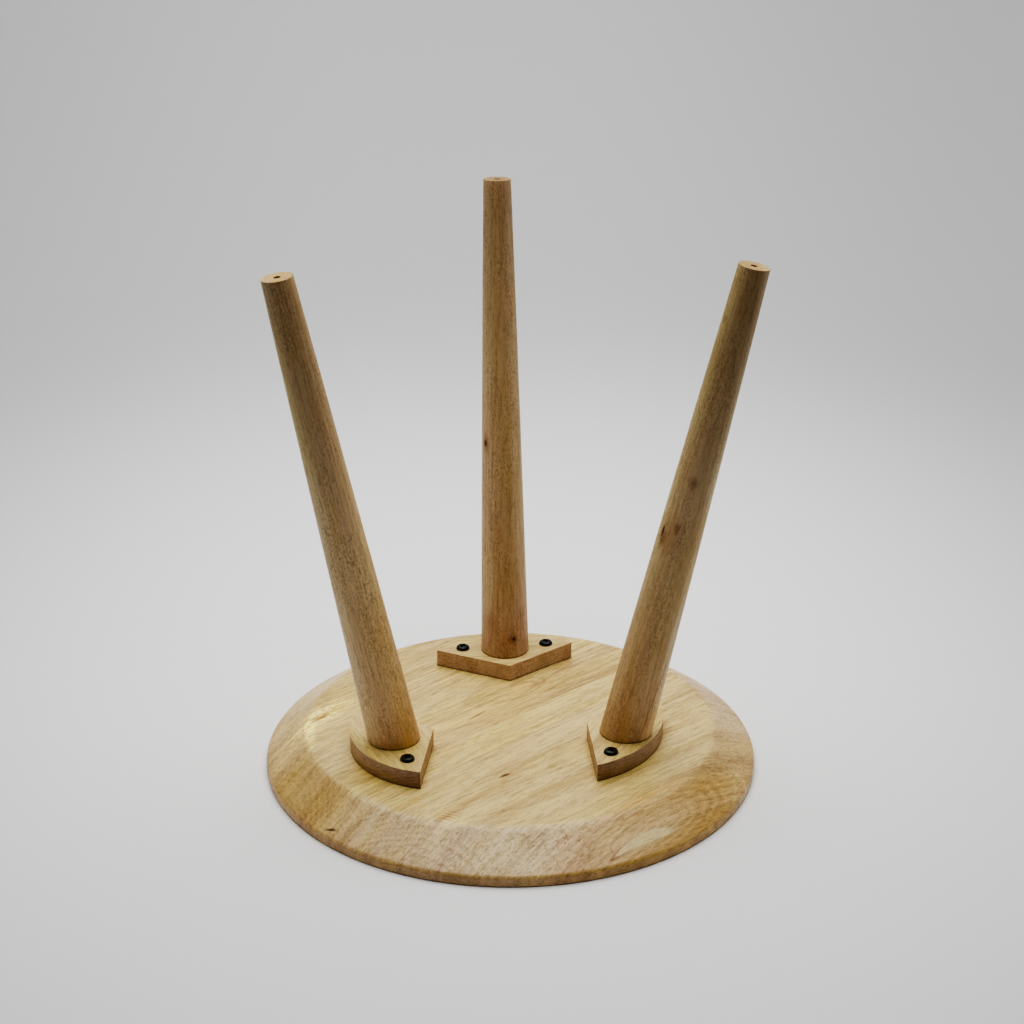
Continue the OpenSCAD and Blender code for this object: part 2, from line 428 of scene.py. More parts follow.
# The rings round it: their middle, how long and how wide the innermost is, and how they bow
RINGS_AT = (-18.0, -159.5)
RINGS_HALF = (27.0, 7.0)
RINGS_BOW = 0.0010
PALE_RINGS = (1.5, 1.95, 2.4, 2.85, 3.3, 3.75)
DARK_RINGS = (1.3, 1.7, 2.15, 2.6)

# The small knot beside it, and how fast its bowed lines widen for each mm along and across
KNOT_AT = (-78.0, -142.0)
KNOT_SPREAD = (0.085, 0.055)
KNOT_LINES = (0.55, 1.0)

# The fan of dark lines in the fourth board, from a point, and the pale eye in it
FAN_AT = (-70.0, 2.0)
FAN_LINES = (-0.02, 0.05, 0.12, 0.21)
EYE_AT = (40.0, 32.5)
EYE_HALF = (9.0, 4.0)

# Tints of the slope: a painted grey sheen over all of it, its specks and stripes, painted shade on its
# two ends, its edge, and where it runs along the grain
SLOPE_SHEEN = (1.06, 1.07, 1.38)
SLOPE_SPECK = (0.78, 0.70, 0.65)
SLOPE_STRIPE = (0.88, 0.81, 0.70)
SLOPE_SIDE_SHADE = (0.84, 0.78, 0.62)
SLOPE_EDGE = (0.90, 0.82, 0.78)
SLOPE_ALONG = (1.04, 1.05, 1.06)

# Tints of whole boards, or of wide parts of them, with painted shade on the back board's right
FLECK_BOARD = (0.97, 0.95, 1.02)
NARROW_BOARD = (1.05, 1.04, 0.96)
BY_GLUE_LINE = (0.90, 0.80, 0.70)
BACK_BOARD = (0.96, 0.94, 1.02)
BACK_RIGHT_SHADE = (0.90, 0.87, 0.86)

# Tints of the marks, and of the painted highlight on the ridge
RINGS_GOLD = (0.92, 0.84, 0.70)
RINGS_DARK = (0.78, 0.66, 0.54)
KNOT_PINK = (0.95, 0.87, 0.92)
KNOT_DARK = (0.52, 0.42, 0.40)
FLECK = (0.30, 0.14, 0.09)
SMEAR = (0.76, 0.60, 0.42)
SMEAR_BARS = (0.68, 0.50, 0.34)
CRACK = (0.26, 0.15, 0.10)
FAN_DARK = (0.72, 0.54, 0.40)
EYE_PALE = (1.25, 1.25, 1.10)
EYE_DARK = (0.74, 0.58, 0.44)
RIPPLE_BRIGHT = (1.60, 1.75, 1.45)
RIPPLE_DARK = (0.70, 0.60, 0.42)
RIPPLE_SMEAR = (0.50, 0.38, 0.22)
RIDGE_HIGHLIGHT = (1.45, 1.58, 1.30)


def slope_marks(g, colour):
    """The slope: a painted grey sheen and grit, golden painted shade at its left and right, a browner edge.
    """
    # The slope's faces are neither level, like the flat, nor upright, like the rim
    slope = g.mul(g.between(g.upness, 0.97, 0.90), g.between(g.upness, 0.45, 0.60))
    # The painted grey sheen is only weak at the left end of the slope
    not_left = g.between(g.sub(g.u, g.mul(g.v, 0.6)), -182.0, -132.0)
    colour = g.stain(colour, g.mul(slope, g.add(g.mul(not_left, 0.70), 0.20)), SLOPE_SHEEN)
    speck = g.between(g.noise(g.grown, (1.8, 1.0, 1.4), 2.0, 0.75), 0.50, 0.62)
    colour = g.stain(colour, g.mul(slope, speck), SLOPE_SPECK, 0.40)
    stripe = g.between(g.noise(g.grown, (260, 6.5, 60)), 0.42, 0.60)
    colour = g.stain(colour, g.mul(slope, stripe), SLOPE_STRIPE, 0.38)
    # Painted shade, golden, on the slope's left and right ends, where less light falls on them
    left_end = g.ellipse(centre=(-156.0, 36.0), half=(25.0, 38.0), turn=10.0, soft=0.6)
    right_end = g.ellipse(centre=(72.0, -144.0), half=(66.0, 24.0), turn=27.0)
    side_shade = g.mul(slope, g.math("MAXIMUM", left_end, right_end))
    colour = g.stain(colour, side_shade, SLOPE_SIDE_SHADE, 0.85)
    edge = g.between(g.from_middle, EDGE_AT - 8.0, EDGE_AT - 1.0)
    colour = g.stain(colour, edge, SLOPE_EDGE, 0.60)
    along = g.between(g.endness, 0.52, 0.38)
    return g.stain(colour, g.mul(slope, along), SLOPE_ALONG, 0.5)


def heart_field(g, du, wander):
    """1 on the outline of the pale heart, less inside it."""
    line = g.sub(g.mul(du, HEART_LEAN), g.mul(g.mul(du, du), HEART_BOW))
    dv = g.sub(g.sub(g.v, HEART_AT[1]), line)
    slim = g.add(g.mul(du, HEART_PLUMPER), HEART_SLIM)
    return g.add(g.hypot(g.mul(du, 1.0 / HEART_HALF), g.mul(dv, slim)), wander)


def rings_field(g, du, wander):
    """Grows outwards from the middle of the rings round the heart."""
    along = g.mul(g.sub(g.u, RINGS_AT[0]), 1.0 / RINGS_HALF[0])
    out = g.sub(g.sub(g.v, RINGS_AT[1]), g.mul(g.mul(du, du), RINGS_BOW))
    return g.add(g.hypot(along, g.mul(out, 1.0 / RINGS_HALF[1])), wander)


def knot_board_marks(g, colour):
    """The front board: a long pale heart with thin rings round it on the slope, and a small knot."""
    du = g.sub(g.u, HEART_AT[0])
    wander = g.swing(g.grown, (26, 7, 7), 0.12)
    heart = heart_field(g, du, wander)
    field = rings_field(g, du, wander)
    golden = g.mul(g.between(field, 3.9, 2.6), g.between(heart, 0.9, 1.3))
    colour = g.stain(colour, golden, RINGS_GOLD)
    colour = g.stain(colour, g.lines(field, PALE_RINGS, 0.08), PALE, 0.85)
    colour = g.stain(colour, g.lines(field, DARK_RINGS, 0.07), RINGS_DARK, 0.40)
    colour = g.mix(g.mul(g.between(heart, 1.10, 0.86), 0.50), colour, (*HEART, 1.0))
    left_end = g.add(g.mul(g.between(g.u, -32.0, -52.0), 0.55), 0.18)
    colour = g.stain(colour, g.mul(g.lines(heart, (1.05,), 0.20), left_end), RED_BROWN)
    return slope_marks(g, knot_marks(g, colour))


def knot_marks(g, colour):
    """Thin bowed lines round a small knot on the slope, with dark dots at one side."""
    near = g.ellipse(centre=(-80.0, -141.0), half=(20.0, 17.0), soft=0.35)
    bend = g.swing(g.grown, (15, 15, 15), 0.30)
    along = g.mul(g.sub(g.u, KNOT_AT[0]), KNOT_SPREAD[0])
    across = g.mul(g.sub(g.v, KNOT_AT[1]), KNOT_SPREAD[1])
    ring = g.add(g.hypot(along, across), bend)
    broken = g.between(g.noise(g.grown, (9, 9, 9)), 0.40, 0.58)
    lines = g.mul(g.lines(ring, KNOT_LINES, 0.07), g.mul(near, broken))
    colour = g.stain(colour, near, KNOT_PINK, 0.5)
    colour = g.stain(colour, lines, KNOT_DARK, 0.36)
    dots = g.between(g.noise(g.grown, (2.2, 1.6, 2.0), 1.0), 0.60, 0.68)
    return g.patch(colour, RED_BROWN, 0.8, mask=dots, centre=(-72.0, -138.0), half=(9.0, 5.0))


def fleck_board_marks(g, colour):
    """The second board: a red-brown fleck, and a brown smear with short bars across its end."""
    colour = g.stain(colour, 1.0, FLECK_BOARD, 0.35)
    wavy = g.add(g.v, g.swing(g.grown, (9, 2, 2), 0.5))
    colour = g.patch(colour, FLECK, centre=(-55.5, -55.8), half=(4.4, 1.25), v=wavy)
    colour = g.patch(colour, RED_BROWN, 0.35, centre=(-36.0, -58.5), half=(16.0, 1.6), turn=-6.0, soft=0.8)
    smear = dict(centre=(-96.0, -66.0), half=(26.0, 2.8), turn=7.0, soft=0.8, v=wavy)
    colour = g.patch(colour, SMEAR, 0.55, **smear)
    bars = g.between(g.math("SINE", g.mul(g.add(g.u, g.mul(g.v, 0.5)), 1.7)), 0.0, 0.8)
    colour = g.patch(colour, SMEAR_BARS, 0.8, mask=bars, centre=(-118.0, -70.0), half=(9.0, 5.0))
    colour = g.patch(colour, PALE, 0.7, centre=(-125.0, -71.0), half=(16.0, 9.0), turn=20.0, soft=0.9)
    return slope_marks(g, colour)


def narrow_board_marks(g, colour):
    """The narrow third board: a little more yellow, with a short dark crack in its left slope."""
    colour = slope_marks(g, g.stain(colour, 1.0, NARROW_BOARD, 0.5))
    wavy = g.add(g.u, g.swing(g.grown, (3, 3, 3), 0.4))
    crack = dict(centre=(-169.9, -10.2), half=(0.8, 3.6), turn=20.0, soft=0.4, u=wavy)
    return g.patch(colour, CRACK, **crack)


def fan_marks(g, colour):
    """Dark lines that fan out to the right."""
    wander = g.swing(g.grown, (45, 9, 9), 0.8)
    rise = g.add(g.sub(g.v, FAN_AT[1]), wander)
    fan = g.math("DIVIDE", rise, g.sub(g.u, FAN_AT[0]))
    open_side = g.mul(g.between(g.u, -40.0, 0.0), g.between(g.u, 150.0, 80.0))
    return g.stain(colour, g.mul(g.lines(fan, FAN_LINES, 0.010), open_side), FAN_DARK, 0.45)


def eye_marks(g, colour):
    """A pale eye with dark lines round its right side."""
    along = g.mul(g.sub(g.u, EYE_AT[0]), 1.0 / EYE_HALF[0])
    across = g.mul(g.sub(g.v, EYE_AT[1]), 1.0 / EYE_HALF[1])
    eye = g.hypot(along, across)
    colour = g.stain(colour, g.between(eye, 1.4, 0.5), EYE_PALE, 0.9)
    right = g.between(g.u, 30.0, 44.0)
    return g.stain(colour, g.mul(g.lines(eye, (1.5, 2.4), 0.28), right), EYE_DARK, 0.4)


def brown_board_marks(g, colour):
    """The fourth board: brown by its glue line, two pale bands, dark fan lines, a pale eye, streaks."""
    colour = g.stain(colour, g.between(g.v, 34.0, 6.0), BY_GLUE_LINE, 0.55)
    colour = g.patch(colour, PALE, 0.55, centre=(0.0, 27.0), half=(190.0, 3.0), turn=1.0, soft=0.9)
    colour = g.patch(colour, PALE, 0.55, centre=(0.0, 82.0), half=(190.0, 3.5), soft=0.9)
    colour = eye_marks(g, fan_marks(g, colour))
    colour = g.patch(colour, RED_BROWN, 0.8, centre=(-12.0, 22.0), half=(9.5, 0.8), turn=8.0, soft=0.6)
    colour = g.patch(colour, RED_BROWN, 0.5, centre=(-40.0, 33.5), half=(15.0, 0.7), turn=2.0, soft=0.6)
    return slope_marks(g, bright_patch(g, colour))


def bright_patch(g, colour):
    """The bright rippled patch and the dark smear by the left block, across the last glue line, and a
    painted highlight on the ridge.
    """
    ripple = g.add(g.noise(g.grown, (10, 4, 5)), g.mul(g.noise(g.grown, (24, 2, 2)), 0.5))
    place = dict(centre=(-99.0, 96.0), half=(29.0, 9.0), turn=12.0, soft=0.6)
    colour = g.patch(colour, RIPPLE_BRIGHT, mask=g.between(ripple, 0.58, 0.72), **place)
    colour = g.patch(colour, RIPPLE_DARK, mask=g.between(ripple, 0.76, 0.86), **place)
    smear = dict(centre=(-99.0, 94.5), half=(8.0, 2.0), turn=6.0, soft=0.7)
    colour = g.patch(colour, RIPPLE_SMEAR, 0.9, **smear)
    # A painted highlight along the ridge between the flat and the slope
    ridge = dict(centre=(-120.0, 79.0), half=(16.0, 3.5), turn=56.0, soft=0.7)
    return g.patch(colour, RIDGE_HIGHLIGHT, mask=g.between(ripple, 0.52, 0.72), **ridge)


def grey_board_marks(g, colour):
    """The back board: greyer, with painted shade to the right, and its part of the bright patch."""
    colour = g.stain(colour, 1.0, BACK_BOARD, 0.30)
    # Painted shade on the back board's right part, behind the right leg
    colour = g.stain(colour, g.between(g.u, -20.0, 70.0), BACK_RIGHT_SHADE, 0.7)
    return slope_marks(g, bright_patch(g, colour))


def dress_seat(nodes):
    turn = math.radians(GRAIN_TURN)
    place = log_frame(Vector(), Vector((math.cos(turn), math.sin(turn), 0.0)), UP)
    tones = (LIGHT_TAN, DARK_TAN, 0.55, 0.50)
    looks = (
        dict(marks=knot_board_marks, pith=(-164.0, 23.3, 0.0, 0.10), pitch=2.1, seed=11.0, rings=0.12),
        dict(marks=fleck_board_marks, pith=(-70.0, -60.0, 0.02, 0.05), pitch=2.6, seed=37.0),
        dict(marks=narrow_board_marks, pith=(-4.0, -30.0, 0.01, -0.04), pitch=2.4, seed=53.0),
        dict(marks=brown_board_marks, pith=(40.0, -45.0, -0.02, 0.06), pitch=2.8, seed=71.0),
        dict(marks=grey_board_marks, pith=(170.0, -25.0, 0.03, 0.03), pitch=2.4, seed=97.0),
    )
    for number, look in enumerate(looks, 1):
        name = f"seat_board_{number}"
        dress(nodes[name], wood(name, place, tones=tones, contrast=1.15, gloss=0.70, **look))


# ---------------------------------------------------------------- legs and blocks
# The ends of a leg's mesh: how far from the lowest and the highest point they reach
END_BAND = 0.006

# A leg's radius at its base, and how much it tapers for each mm along it, in mm
LEG_R = 17.85
LEG_TAPER = 0.0221

# Tints of every leg: its speckle and blotches, its base, its sawn foot with the painted shade of its pit,
# and painted shade on the wood above that
SPECK_DARK = (0.50, 0.42, 0.36)
SPECK_PALE = (1.22, 1.22, 1.26)
BLOTCH = (0.94, 0.83, 0.72)
LOW_PINK = (0.98, 0.91, 1.02)
LOWEST_BROWN = (0.92, 0.82, 0.74)
FOOT_FACE = (0.82, 0.87, 0.68)
FOOT_PIT_SHADE = (0.36, 0.26, 0.20)
FOOT_END_SHADE = (0.78, 0.73, 0.68)

# Each leg's overall tint, part the tone of its wood and part painted light and shade, and the painted
# sheen and shade of its left and its right side
LEG_TINTS = {
    "back": ((0.81, 0.76, 0.78), (1.14, 1.26, 1.36), (1.12, 1.24, 1.36)),
    "left": ((1.20, 1.18, 1.27), (0.98, 1.10, 1.16), (0.94, 0.98, 0.93)),
    "right": ((1.04, 1.02, 1.08), (0.92, 1.00, 0.92), (1.14, 1.26, 1.40)),
}

# Spots on each leg. Their places are in mm from the middle of its base: u up the leg, v to the
# left and w to the front. The back leg has a stain, a dark dot and, higher up, a knot.
BACK_SPOTS = (
    dict(centre=(20.5, 10.5, 12.8), length=6.5, width=3.8, soft=0.8, tint=(0.72, 0.52, 0.44), share=0.55),
    dict(centre=(7.9, -6.0, 16.3), length=4.0, width=3.6, soft=0.7, tint=(0.62, 0.46, 0.38), share=0.6),
    dict(centre=(7.9, -6.0, 16.3), length=1.5, width=1.4, soft=0.5, tint=(0.24, 0.18, 0.16), share=0.85),
    dict(centre=(155.3, 12.3, 7.8), length=7.0, width=3.4, soft=0.7, tint=(0.70, 0.52, 0.42), share=0.6),
    dict(centre=(155.3, 12.3, 7.8), length=2.6, width=1.6, soft=0.5, tint=(0.26, 0.16, 0.14), share=0.9),
)

# The left leg is golden low down on its right side
LEFT_SPOTS = (
    dict(centre=(20.0, -12.0, 8.0), length=90.0, width=12.0, soft=0.6, tint=(0.98, 0.92, 0.84), share=0.5),
)

# The right leg is reddish low down, and has a split knot in a brown halo and a smaller knot above
RIGHT_SPOTS = (
    dict(centre=(30.0, 12.0, 10.0), length=80.0, width=12.0, soft=0.7, tint=(1.02, 0.92, 0.98), share=0.8),
    dict(centre=(159.6, 9.5, 9.3), length=13.0, width=6.5, soft=0.7, tint=(0.86, 0.68, 0.56), share=0.6),
    dict(centre=(154.6, 13.0, 7.3), length=5.0, width=3.0, soft=0.6, tint=(0.62, 0.44, 0.36), share=0.7),
    dict(centre=(160.2, 13.2, 6.2), length=3.6, width=1.2, soft=0.5, tint=(0.18, 0.11, 0.10), share=0.95),
    dict(centre=(165.6, 5.6, 12.4), length=4.5, width=1.8, soft=0.5, tint=(0.60, 0.42, 0.34), share=0.7),
    dict(centre=(200.4, 3.1, 13.4), length=4.0, width=2.2, soft=0.7, tint=(0.56, 0.42, 0.34), share=0.75),
)

# Tints of the smears low on the back leg and of the dark line on the right one, and that line:
# how it leans across the leg, where it starts and how wide it is
LOW_SMEAR = (0.88, 0.70, 0.66)
LINE_DARK = (0.46, 0.34, 0.30)
LINE_LEAN = 0.105
LINE_FROM = 5.9
LINE_WIDTH = 0.75


def middle_of(points):
    low = Vector(map(min, *points))
    high = Vector(map(max, *points))
    return (low + high) / 2


def leg_ends(leg):
    """The middles of a leg's base and of its foot."""
    points = [v.co.copy() for v in leg.data.vertices]
    base = min(p.z for p in points)
    top = max(p.z for p in points)
    return [middle_of([p for p in points if abs(p.z - end) < END_BAND]) for end in (base, top)]


def leg_speckle(g, colour):
    """Fine round speckle, dark and pale, and larger blotches."""
    speck = g.noise(g.grown, (2.2, 1.0, 1.0), 2.0, 0.7)
    grizzle = g.between(g.noise(g.grown, (60, 14, 14)), 0.40, 0.62)
    dark = g.mul(g.between(speck, 0.50, 0.64), g.add(g.mul(grizzle, 0.35), 0.20))
    colour = g.stain(colour, dark, SPECK_DARK)
    pale = g.mul(g.between(speck, 0.46, 0.34), grizzle)
    colour = g.stain(colour, pale, SPECK_PALE, 0.45)
    blotch = g.between(g.noise(g.grown, (42, 12, 12)), 0.46, 0.66)
    return g.stain(colour, blotch, BLOTCH, 0.35)


def leg_sides(g, colour, left, right):
    """A painted sheen and shade for each side of a leg, which grows from near its middle to its outline."""
    across = g.math("DIVIDE", g.v, g.add(g.mul(g.u, -LEG_TAPER), LEG_R))
    colour = g.stain(colour, g.between(across, 0.25, 0.95), left)
    return g.stain(colour, g.between(across, -0.25, -0.95), right)


def leg_ends_marks(g, colour):
    """A browner base, a painted contact shadow on the block, painted shade towards the upper end, and a pit
    in the sawn foot painted dark as the shade in its hole.
    """
    colour = g.stain(colour, g.between(g.u, 60.0, 5.0), LOW_PINK, 0.55)
    colour = g.stain(colour, g.between(g.u, 30.0, 6.0), LOWEST_BROWN, 0.6)
    colour = g.stain(colour, g.between(g.endness, 0.4, 0.7), FOOT_FACE)
    # The foot's centre hole is painted as a dark pit: painted shade
    pit_shade = g.mul(g.between(g.hypot(g.v, g.w), 2.7, 2.1), g.between(g.endness, 0.3, 0.5))
    colour = g.stain(colour, pit_shade, FOOT_PIT_SHADE)
    # Painted contact shadow where the leg stands on its block
    block_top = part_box("block_back")[1].z
    colour = g.seam(colour, block_top, 0.0016, 0.75)
    # Painted shade: the leg's sides darken towards the foot, where less light reaches them
    shade_towards_foot = g.mul(g.between(g.u, 180.0, 335.0), g.between(g.endness, 0.6, 0.3))
    return g.stain(colour, shade_towards_foot, FOOT_END_SHADE, 0.80)


def leg_marks(g, colour, side, spots):
    """What every leg has, in its tints, partly painted light and shade, and its own spots."""
    own, left, right = LEG_TINTS[side]
    colour = leg_speckle(g, g.stain(colour, 1.0, own))
    colour = leg_ends_marks(g, leg_sides(g, colour, left, right))
    for spot in spots:
        colour = g.spot(colour, **spot)
    return colour


def back_leg_marks(g, colour):
    """The back leg is red-brown, with smears low down."""
    smear = g.between(g.noise(g.grown, (22, 6, 6), 2.0, 0.6), 0.50, 0.64)
    colour = g.stain(colour, g.mul(smear, g.between(g.u, 130.0, 40.0)), LOW_SMEAR, 0.4)
    return leg_marks(g, colour, "back", BACK_SPOTS)


def left_leg_marks(g, colour):
    """The left leg is grey-brown."""
    return leg_marks(g, colour, "left", LEFT_SPOTS)


def right_leg_marks(g, colour):
    """The right leg has a long thin dark line low on its right side."""
    lean = g.add(g.v, g.mul(g.u, LINE_LEAN))
    across = g.add(lean, g.add(g.swing(g.grown, (30, 30, 30), 0.8), LINE_FROM))
    near = g.mul(g.between(g.u, 92.0, 50.0), g.between(g.w, 4.0, 9.0))
    colour = g.stain(colour, g.mul(g.lines(across, (0.0,), LINE_WIDTH), near), LINE_DARK, 0.50)
    return leg_marks(g, colour, "right", RIGHT_SPOTS)


def dress_legs(nodes):
    looks = {
        "back": dict(pith=(18.0, -34.0, 0.01, 0.02), seed=130.0, marks=back_leg_marks),
        "left": dict(pith=(-30.0, 14.0, 0.02, -0.02), seed=170.0, marks=left_leg_marks),
        "right": dict(pith=(8.0, 40.0, -0.02, 0.01), seed=210.0, marks=right_leg_marks),
    }
    shared = dict(
        pitch=2.3,
        tones=(LEG_LIGHT, LEG_DARK, 0.68, 0.0),
        rings=0.26,
        contrast=0.48,
        speckle=0.24,
        gloss=0.40,
    )
    for side, look in looks.items():
        name = "leg_" + side
        base, foot = leg_ends(nodes[name])
        place = log_frame(base, foot - base, FRONT)
        dress(nodes[name], wood(name, place, **shared, **look))


def block_grain(block):
    """Along the block's width: square to the line from its inner corner to its middle."""
    points = [v.co.to_2d() for v in block.data.vertices]
    corner = min(points, key=lambda p: p.length)
    out = middle_of(points) - corner
    return Vector((-out.y, out.x, 0.0))


def face_light_and_shade_marks(tint):
    """Upright faces of one block in a painted light and shade tint of their own, with a painted contact
    shadow on the seat.
    """

    def marks(g, colour):
        colour = g.stain(colour, g.between(g.upness, 0.45, 0.15), tint)
        seat_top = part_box("block_back")[0].z
        return g.seam(colour, seat_top, 0.0018, 0.8)

    return marks


def dress_blocks(nodes):
    tones = (LIGHT_TAN, DARK_TAN, 0.4, 1.0)
    # Painted light and shade on each block's upright faces: darker on the left and right, lighter and bluer
    # at the back
    face_light_and_shade_tints = {"back": (1.08, 1.18, 1.42), "left": (0.86, 0.86, 1.00), "right": (0.85, 0.86, 1.00)}
    for k, side in enumerate(SIDES):
        block = nodes["block_" + side]
        low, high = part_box("block_" + side)
        place = log_frame((low + high) / 2, block_grain(block), UP)
        look = dict(pith=(5.0, -40.0, 0.03, 0.02), pitch=2.4, seed=300.0 + 30.0 * k)
        marks = face_light_and_shade_marks(face_light_and_shade_tints[side])
        dress(block, wood("block_" + side, place, tones=tones, contrast=0.7, marks=marks, **look))


# ---------------------------------------------------------------- screws and dowels
def metal(name, size, dark, light, rough_from, rough_more, depth, **uniform):
    """A finish with a fine grain of size mm, between two greys and between two roughnesses.

    depth is that of its relief in metres.
    """
    g = Nodes(name)
    coords = g.put("TexCoord", {})
    at = g.scaled(coords.outputs["Object"], (1.0 / MM, 1.0 / MM, 1.0 / MM))
    grain = g.noise(at, (size, size, size), 3.0)
    colour = g.mix(grain, (*dark, 1.0), (*light, 1.0))
    rough = g.add(g.mul(grain, rough_more), rough_from)
    inputs = {"Base Color": colour, "Roughness": rough, "Normal": g.bump(grain, depth)}
    return g.finish(inputs, **uniform)


def black_finish():
    look = dict(dark=(0.005, 0.005, 0.005), light=(0.030, 0.028, 0.028))
    return metal("black_screw", size=0.6, rough_from=0.20, rough_more=0.25, depth=0.00004, **look)


def steel_finish():
    look = dict(dark=(0.55, 0.53, 0.48), light=(0.72, 0.70, 0.64), Metallic=1.0)
    return metal("plain_screw", size=0.5, rough_from=0.25, rough_more=0.20, depth=0.00002, **look)


def dress_fixings(nodes):
    make_block_screws(nodes, black_finish())
    steel = steel_finish()
    look = dict(pith=(9.0, 4.0, 0.0, 0.0), pitch=1.6, tones=(LIGHT_TAN, DARK_TAN, 0.5, 0.0))
    for side in SIDES:
        dress(nodes["leg_screw_" + side], steel)
        dowel = nodes["dowel_" + side]
        low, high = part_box("dowel_" + side)
        place = log_frame((low + high) / 2, high - low, FRONT)
        dress(dowel, wood("dowel_" + side, place, **look))


# A block screw, in mm
HEAD_R = 5.0
HEAD_H = 2.6
SHANK_R = 2.1
SHANK_LEN = 30.0
POINT_LEN = 4.0
SCREW_STEPS = 48

# Its thread: where it starts, and how far below its top each groove is deep, is still deep and ends
THREAD_FROM = 10.0
THREAD_PITCH = 1.8
THREAD_DEPTH = 0.55
GROOVE = (0.3, 1.0, 1.4)

# Its cross recess: how far a bar of the cutter reaches, how wide it is, how deep it cuts, how many
# degrees it is turned, its longer top and narrower bottom as shares, and how far it tops the crown
RECESS_REACH = 2.9
RECESS_W = 1.5
RECESS_DEPTH = 1.9
RECESS_TURN = 20.0
RECESS_FLARE = 1.05
RECESS_NARROW = 0.55
RECESS_OVER = 0.4

# Seen from above, two points of one screw are closer together than this, in metres
SCREW_APART = 0.02

# Degrees: the second screw of a block is turned by the first, and an edge sharper than the second
# isn't smoothed
SECOND_TURN = 35.0
SHARP_FROM = 38.0


def screw_outline():
    """(radius, height) points: a flat dome, a thin rim, a shank with ringed grooves, and the point."""
    dome = [(0.0, HEAD_H), (2.2, 2.58), (3.2, 2.50), (3.9, 2.30), (4.4, 1.95), (4.70, 1.50), (4.80, 1.10)]
    rim = [(4.84, 0.92), (4.94, 0.86), (HEAD_R, 0.74), (HEAD_R, 0.50), (HEAD_R, 0.22), (4.90, 0.0)]
    shank = [(SHANK_R, 0.0), (SHANK_R, -THREAD_FROM)]
    root = SHANK_R - THREAD_DEPTH
    turns = int((SHANK_LEN - THREAD_FROM - POINT_LEN) / THREAD_PITCH)
    for i in range(turns):
        top = -THREAD_FROM - i * THREAD_PITCH
        shank += [(r, top - down) for r, down in zip((root, root, SHANK_R), GROOVE)]
    return dome + rim + shank + [(root, POINT_LEN - SHANK_LEN), (0.0, -SHANK_LEN)]


def cross_cutter():
    """Two tapered bars across each other, which cut the recess down from the crown."""
    shape = bmesh.new()
    for turn in (0.0, 90.0):
        bar = bmesh.ops.create_cube(shape, size=1.0)["verts"]
        for vert in bar:
            top = vert.co.z > 0
            reach = 2 * RECESS_REACH * (RECESS_FLARE if top else RECESS_NARROW)
            width = RECESS_W * (1.0 if top else RECESS_NARROW)
            height = HEAD_H + RECESS_OVER if top else HEAD_H - RECESS_DEPTH
            vert.co = Vector((vert.co.x * reach, vert.co.y * width, height))
        spin = Matrix.Rotation(math.radians(turn + RECESS_TURN), 3, "Z")
        bmesh.ops.rotate(shape, verts=bar, matrix=spin)
    mesh = bpy.data.meshes.new("cutter")
    shape.to_mesh(mesh)
    shape.free()
    cutter = bpy.data.objects.new("cutter", mesh)
    bpy.context.scene.collection.objects.link(cutter)
    return cutter


def screw_mesh():
    """One block screw in mm, with its head's seat at the origin and its crown up."""
    screw = lathe("screw", screw_outline(), SCREW_STEPS)
    cutter = cross_cutter()
    cut = screw.modifiers.new("recess", "BOOLEAN")
    cut.operation = "DIFFERENCE"
    cut.object = cutter
    cut.solver = "EXACT"
    cut.use_self = True
    bpy.context.view_layer.update()
    mesh = bpy.data.meshes.new_from_object(screw.evaluated_get(bpy.context.evaluated_depsgraph_get()))
    bpy.data.objects.remove(screw)
    bpy.data.objects.remove(cutter)
    return mesh


def screw_seats(node):
    """Where the heads of a node's two screws sit: their middles, one head's height under their crowns."""
    points = [v.co for v in node.data.vertices]
    first = points[0].to_2d()
    groups = ([], [])
    for point in points:
        groups[(point.to_2d() - first).length > SCREW_APART].append(point)
    seats = []
    for group in groups:
        middle = middle_of(group)
        crown = max(point.z for point in group)
        seats.append(Vector((middle.x, middle.y, crown - HEAD_H * MM)))
    return seats


def make_block_screws(nodes, material):
    one = screw_mesh()
    for side in SIDES:
        shape = bmesh.new()
        for k, seat in enumerate(screw_seats(nodes["block_screws_" + side])):
            start = len(shape.verts)
            shape.from_mesh(one)
            shape.verts.ensure_lookup_table()
            turn = Matrix.Rotation(math.radians(SECOND_TURN * k), 4, "Z")
            place = Matrix.Translation(seat) @ turn @ Matrix.Scale(MM, 4)
            bmesh.ops.transform(shape, matrix=place, verts=shape.verts[start:])
        mesh = bpy.data.meshes.new("domed_screws_" + side)
        shape.to_mesh(mesh)
        shape.free()
        mesh.shade_smooth()
        mesh.set_sharp_from_angle(angle=math.radians(SHARP_FROM))
        pair = bpy.data.objects.new("domed_screws_" + side, mesh)
        bpy.context.scene.collection.objects.link(pair)
        dress(pair, material)
        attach(pair, "root")
        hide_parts("block_screws_" + side)


# ---------------------------------------------------------------- eased edges
# In metres and degrees. The CAD's points closer together than the gap are joined first.
BLOCK_EASE = 0.0006
LEG_EASE = 0.0015
EASE_STEPS = 3
EASE_FROM = 40.0
WELD_GAP = 1e-5


def ease_edges(piece, width):
    """Rounds a piece's sharp edges a little, as sandpaper does."""
    weld = piece.modifiers.new("weld", "WELD")
    weld.merge_threshold = WELD_GAP
    ease = piece.modifiers.new("ease", "BEVEL")
    ease.width = width
    ease.segments = EASE_STEPS
    ease.limit_method = "ANGLE"
    ease.angle_limit = math.radians(EASE_FROM)
    ease.harden_normals = True


def ease_pieces(nodes):
    for side in SIDES:
        ease_edges(nodes["block_" + side], BLOCK_EASE)
        ease_edges(nodes["leg_" + side], LEG_EASE)


# ---------------------------------------------------------------- stage
JOIN_GAP = 1e-6


